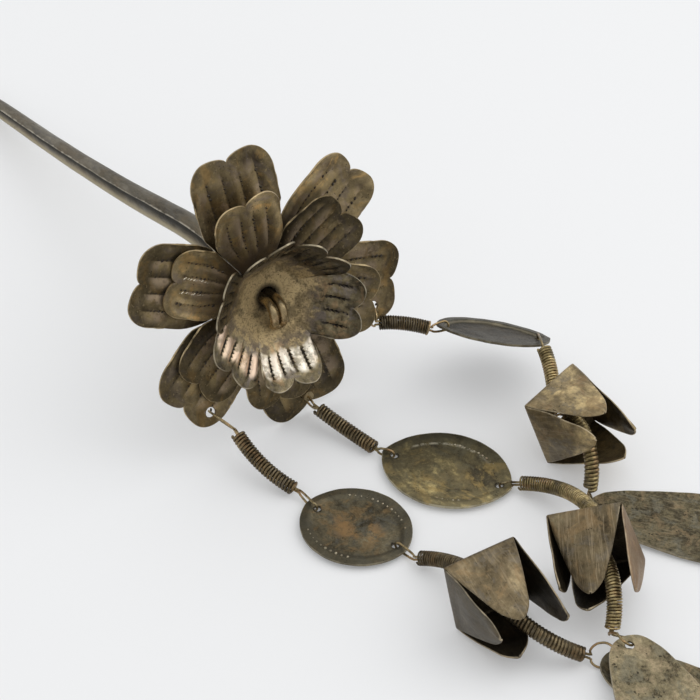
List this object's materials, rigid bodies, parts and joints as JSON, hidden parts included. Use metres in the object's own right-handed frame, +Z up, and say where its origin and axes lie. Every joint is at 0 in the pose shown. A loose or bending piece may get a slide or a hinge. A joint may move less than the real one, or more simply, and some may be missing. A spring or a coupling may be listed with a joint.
{
  "type": "flower hair stick with hanging chains",
  "caption": "Metal hair stick: a rolled tapering shaft with a layered petal flower on its end, from which coil chains carry pointed plates, open bells and long leaves.",
  "frame": {"origin": "on the surface that the piece lies on, under the middle of its box", "axes": "+X along the piece from the shaft's point to the leaves, +Y to the side that the chains are laid to, +Z up"},
  "size_m": [0.312, 0.1096, 0.0652],
  "materials": {
    "shaft_metal": "tarnished",
    "petal_metal": "tarnished",
    "loop_metal": "tarnished",
    "wire_metal": "tarnished",
    "plate_metal": "tarnished",
    "bell_metal": "tarnished",
    "leaf_metal": "tarnished"
  },
  "bodies": {
    "root": {"shaft": "shaft_metal", "outer_petals": "petal_metal", "second_petals": "petal_metal", "cup_petals": "petal_metal", "centre_loop": "loop_metal", "link_1a": "wire_metal", "coil_1a": "wire_metal", "plate_1": "plate_metal", "link_1b": "wire_metal", "coil_1b": "wire_metal", "bell_1": "bell_metal", "coil_1c": "wire_metal", "leaf_1": "leaf_metal", "link_2a": "wire_metal", "coil_2a": "wire_metal", "plate_2": "plate_metal", "link_2b": "wire_metal", "coil_2b": "wire_metal", "bell_2": "bell_metal", "coil_2c": "wire_metal", "leaf_2": "leaf_metal", "link_3a": "wire_metal", "coil_3a": "wire_metal", "plate_3": "plate_metal", "link_3b": "wire_metal", "coil_3b": "wire_metal", "bell_3": "bell_metal", "coil_3c": "wire_metal", "leaf_3": "leaf_metal"}
  },
  "joints": []
}
